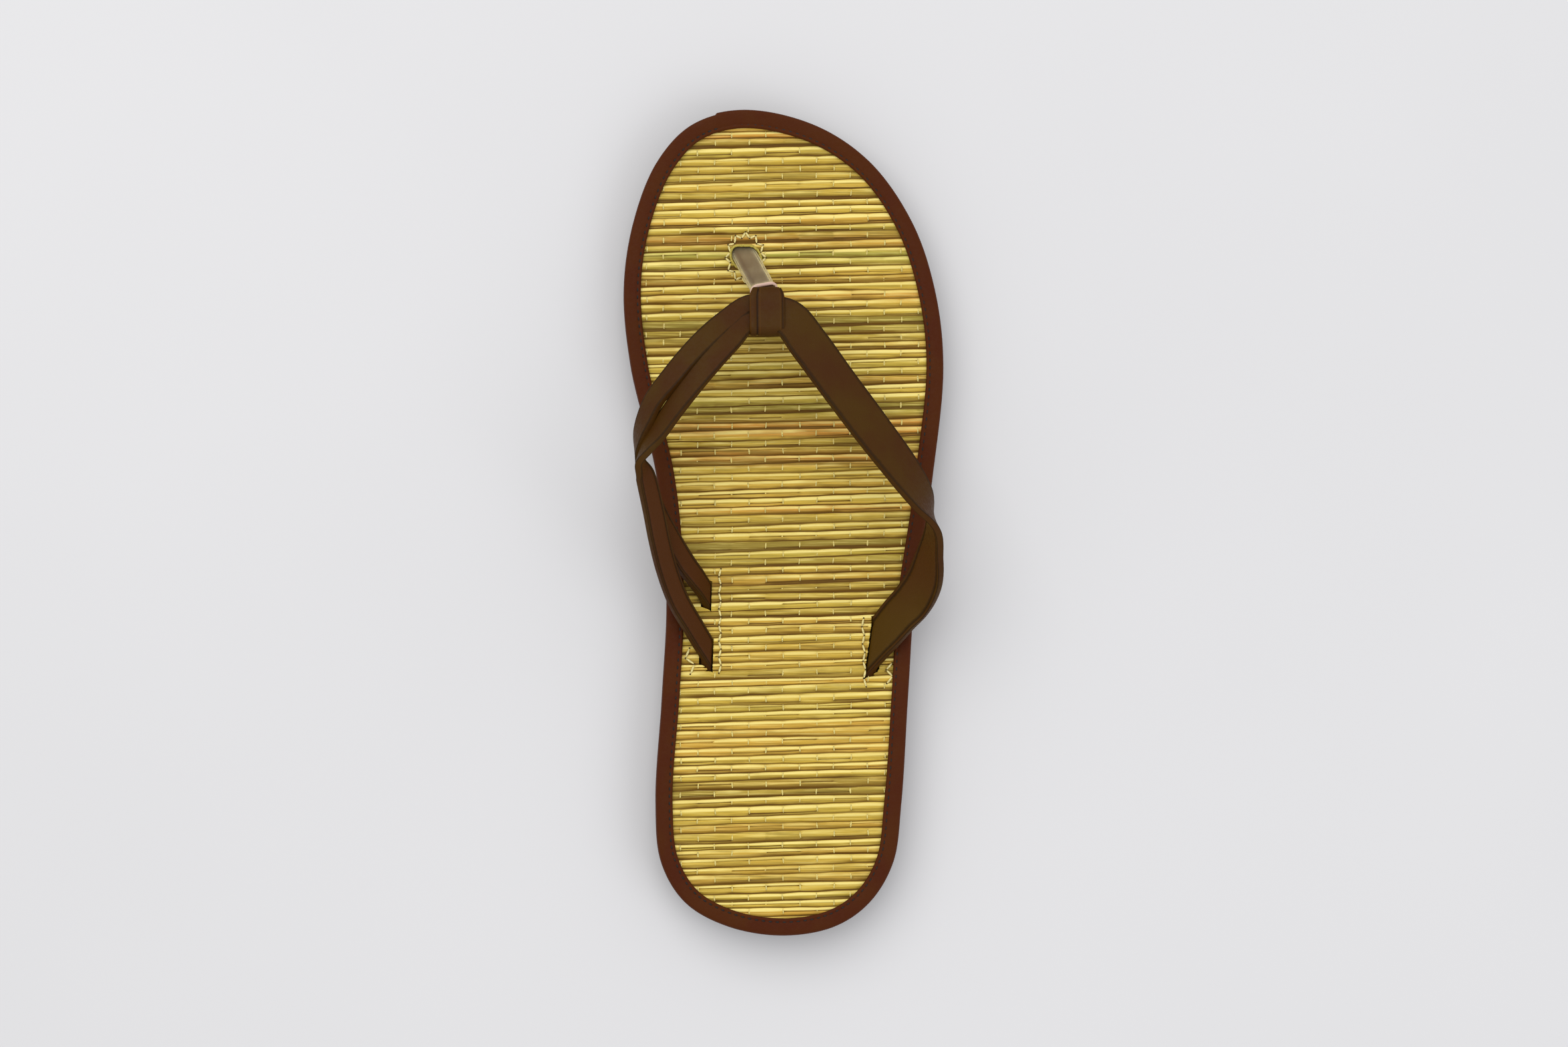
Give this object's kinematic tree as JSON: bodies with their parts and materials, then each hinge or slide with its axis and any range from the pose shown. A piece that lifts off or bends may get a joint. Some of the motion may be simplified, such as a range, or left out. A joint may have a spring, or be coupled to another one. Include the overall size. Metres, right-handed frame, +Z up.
{
  "type": "zori sandal",
  "caption": "Flat thong sandal for the right foot: woven rush footbed with bound edge, rubber outsole, and a strap upper held by a toe post.",
  "frame": {"origin": "on the ground under the middle of the sole's length and width", "axes": "+X towards the outer side of the right foot, +Y towards the toe, +Z up"},
  "size_m": [0.101, 0.26, 0.0451],
  "materials": {
    "sole_rubber": "matt foam rubber",
    "rush": "woven rush, satin",
    "edge_tape": "smooth reddish brown tape, stitched",
    "strap_leather": "soft dark brown, turned edges",
    "clear_sleeve": "clear soft tube"
  },
  "bodies": {
    "root": {"outsole": "sole_rubber", "woven_insole": "rush", "binding": "edge_tape", "straps": "strap_leather", "toe_band": "strap_leather", "toe_sleeve": "clear_sleeve"}
  },
  "joints": []
}
